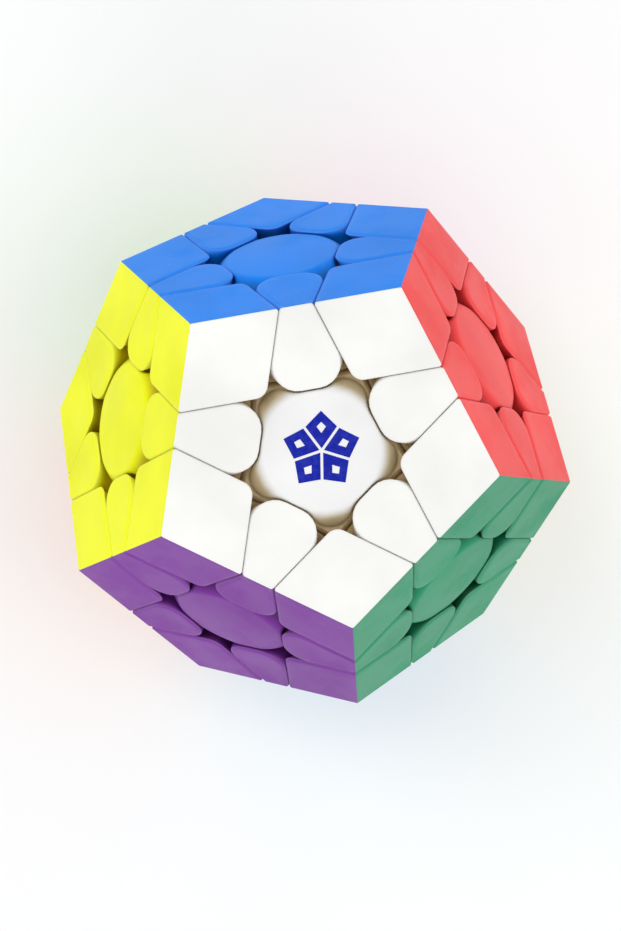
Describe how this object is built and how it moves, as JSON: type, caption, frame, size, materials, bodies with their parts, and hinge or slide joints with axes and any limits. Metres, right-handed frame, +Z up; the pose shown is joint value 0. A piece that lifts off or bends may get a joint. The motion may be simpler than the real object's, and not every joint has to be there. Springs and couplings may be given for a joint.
{
  "type": "dodecahedron twisty puzzle",
  "caption": "Twelve-coloured dodecahedral twisty puzzle of edge, corner and centre pieces on a cored arm frame, with turning face layers and pull-off centre caps.",
  "frame": {"origin": "middle of the flat grey face that the puzzle stands on", "axes": "+Z up through the middle of the white face, +Y towards the blue face's side"},
  "size_m": [0.0812, 0.0854, 0.069],
  "materials": {
    "plastic_white": "moulded, satin",
    "plastic_blue": "moulded, satin",
    "plastic_red": "moulded, satin",
    "plastic_green": "moulded, satin",
    "plastic_purple": "moulded, satin",
    "plastic_yellow": "moulded, satin",
    "plastic_light_blue": "moulded, satin",
    "plastic_cream": "moulded, satin",
    "plastic_pink": "moulded, satin",
    "plastic_lime": "moulded, satin",
    "plastic_orange": "moulded, satin",
    "plastic_grey": "moulded, satin",
    "inner_plastic": "moulded, matte",
    "screw_steel": "zinc plated",
    "spring_steel": "drawn wire"
  },
  "bodies": {
    "grey_layer": {"corner_cream_pink_grey": "plastic_cream", "corner_light_blue_cream_grey": "plastic_light_blue", "corner_light_blue_orange_grey": "plastic_light_blue", "corner_lime_orange_grey": "plastic_lime", "corner_pink_lime_grey": "plastic_pink", "edge_cream_grey": "plastic_cream", "edge_light_blue_grey": "plastic_light_blue", "edge_lime_grey": "plastic_lime", "edge_orange_grey": "plastic_orange", "edge_pink_grey": "plastic_pink", "hub_grey": "inner_plastic"},
    "frame": {"core_with_fixed_hubs": "inner_plastic", "corner_block_purple_light_blue_orange": "plastic_purple", "corner_block_red_cream_pink": "plastic_red", "corner_block_white_purple_yellow": "plastic_white", "corner_block_yellow_lime_orange": "plastic_yellow", "corner_purple_yellow_orange": "plastic_purple", "edge_light_blue_cream": "plastic_light_blue", "edge_pink_lime": "plastic_pink", "edge_white_red": "plastic_white", "tension_screw_blue": "screw_steel", "tension_screw_green": "screw_steel", "tension_screw_grey": "screw_steel", "tension_spring_blue": "spring_steel", "tension_spring_green": "spring_steel", "tension_spring_grey": "spring_steel"},
    "blue_layer": {"corner_blue_pink_lime": "plastic_blue", "corner_blue_red_pink": "plastic_blue", "corner_blue_yellow_lime": "plastic_blue", "corner_white_blue_red": "plastic_white", "corner_white_blue_yellow": "plastic_white", "edge_blue_lime": "plastic_blue", "edge_blue_pink": "plastic_blue", "edge_blue_red": "plastic_blue", "edge_blue_yellow": "plastic_blue", "edge_white_blue": "plastic_white", "hub_blue": "inner_plastic"},
    "green_layer": {"corner_green_light_blue_cream": "plastic_green", "corner_green_purple_light_blue": "plastic_green", "corner_red_green_cream": "plastic_red", "corner_white_green_purple": "plastic_white", "corner_white_red_green": "plastic_white", "edge_green_cream": "plastic_green", "edge_green_light_blue": "plastic_green", "edge_green_purple": "plastic_green", "edge_red_green": "plastic_red", "edge_white_green": "plastic_white", "hub_green": "inner_plastic"},
    "cap_blue_body": {"cap_blue": "plastic_blue"},
    "cap_cream_body": {"cap_cream": "plastic_cream"},
    "cap_green_body": {"cap_green": "plastic_green"},
    "cap_grey_body": {"cap_grey": "plastic_grey"},
    "cap_light_blue_body": {"cap_light_blue": "plastic_light_blue"},
    "cap_lime_body": {"cap_lime": "plastic_lime"},
    "cap_orange_body": {"cap_orange": "plastic_orange"},
    "cap_pink_body": {"cap_pink": "plastic_pink"},
    "cap_purple_body": {"cap_purple": "plastic_purple"},
    "cap_red_body": {"cap_red": "plastic_red"},
    "cap_white_body": {"cap_white": "plastic_white"},
    "cap_yellow_body": {"cap_yellow": "plastic_yellow"}
  },
  "joints": [
    {"name": "grey_turn", "type": "hinge", "parent": "grey_layer", "child": "frame", "pos_m": [0, 0, 0.03452], "axis": [0, 0, -1], "continuous": true},
    {"name": "blue_turn", "type": "hinge", "parent": "frame", "child": "blue_layer", "pos_m": [0, 0, 0.03452], "axis": [0, 0.8944, 0.4472], "continuous": true},
    {"name": "green_turn", "type": "hinge", "parent": "frame", "child": "green_layer", "pos_m": [0, 0, 0.03452], "axis": [0.5257, -0.7236, 0.4472], "continuous": true},
    {"name": "white_cap_lift", "type": "slide", "parent": "frame", "child": "cap_white_body", "axis": [0, 0, 1], "range_m": [0, 0.012]},
    {"name": "blue_cap_lift", "type": "slide", "parent": "blue_layer", "child": "cap_blue_body", "axis": [0, 0.8944, 0.4472], "range_m": [0, 0.012]},
    {"name": "red_cap_lift", "type": "slide", "parent": "frame", "child": "cap_red_body", "axis": [0.8507, 0.2764, 0.4472], "range_m": [0, 0.012]},
    {"name": "green_cap_lift", "type": "slide", "parent": "green_layer", "child": "cap_green_body", "axis": [0.5257, -0.7236, 0.4472], "range_m": [0, 0.012]},
    {"name": "purple_cap_lift", "type": "slide", "parent": "frame", "child": "cap_purple_body", "axis": [-0.5257, -0.7236, 0.4472], "range_m": [0, 0.012]},
    {"name": "yellow_cap_lift", "type": "slide", "parent": "frame", "child": "cap_yellow_body", "axis": [-0.8507, 0.2764, 0.4472], "range_m": [0, 0.012]},
    {"name": "light_blue_cap_lift", "type": "slide", "parent": "frame", "child": "cap_light_blue_body", "axis": [0, -0.8944, -0.4472], "range_m": [0, 0.012]},
    {"name": "cream_cap_lift", "type": "slide", "parent": "frame", "child": "cap_cream_body", "axis": [0.8507, -0.2764, -0.4472], "range_m": [0, 0.012]},
    {"name": "pink_cap_lift", "type": "slide", "parent": "frame", "child": "cap_pink_body", "axis": [0.5257, 0.7236, -0.4472], "range_m": [0, 0.012]},
    {"name": "lime_cap_lift", "type": "slide", "parent": "frame", "child": "cap_lime_body", "axis": [-0.5257, 0.7236, -0.4472], "range_m": [0, 0.012]},
    {"name": "orange_cap_lift", "type": "slide", "parent": "frame", "child": "cap_orange_body", "axis": [-0.8507, -0.2764, -0.4472], "range_m": [0, 0.012]},
    {"name": "grey_cap_lift", "type": "slide", "parent": "grey_layer", "child": "cap_grey_body", "axis": [0, 0, -1], "range_m": [0, 0.012]}
  ]
}
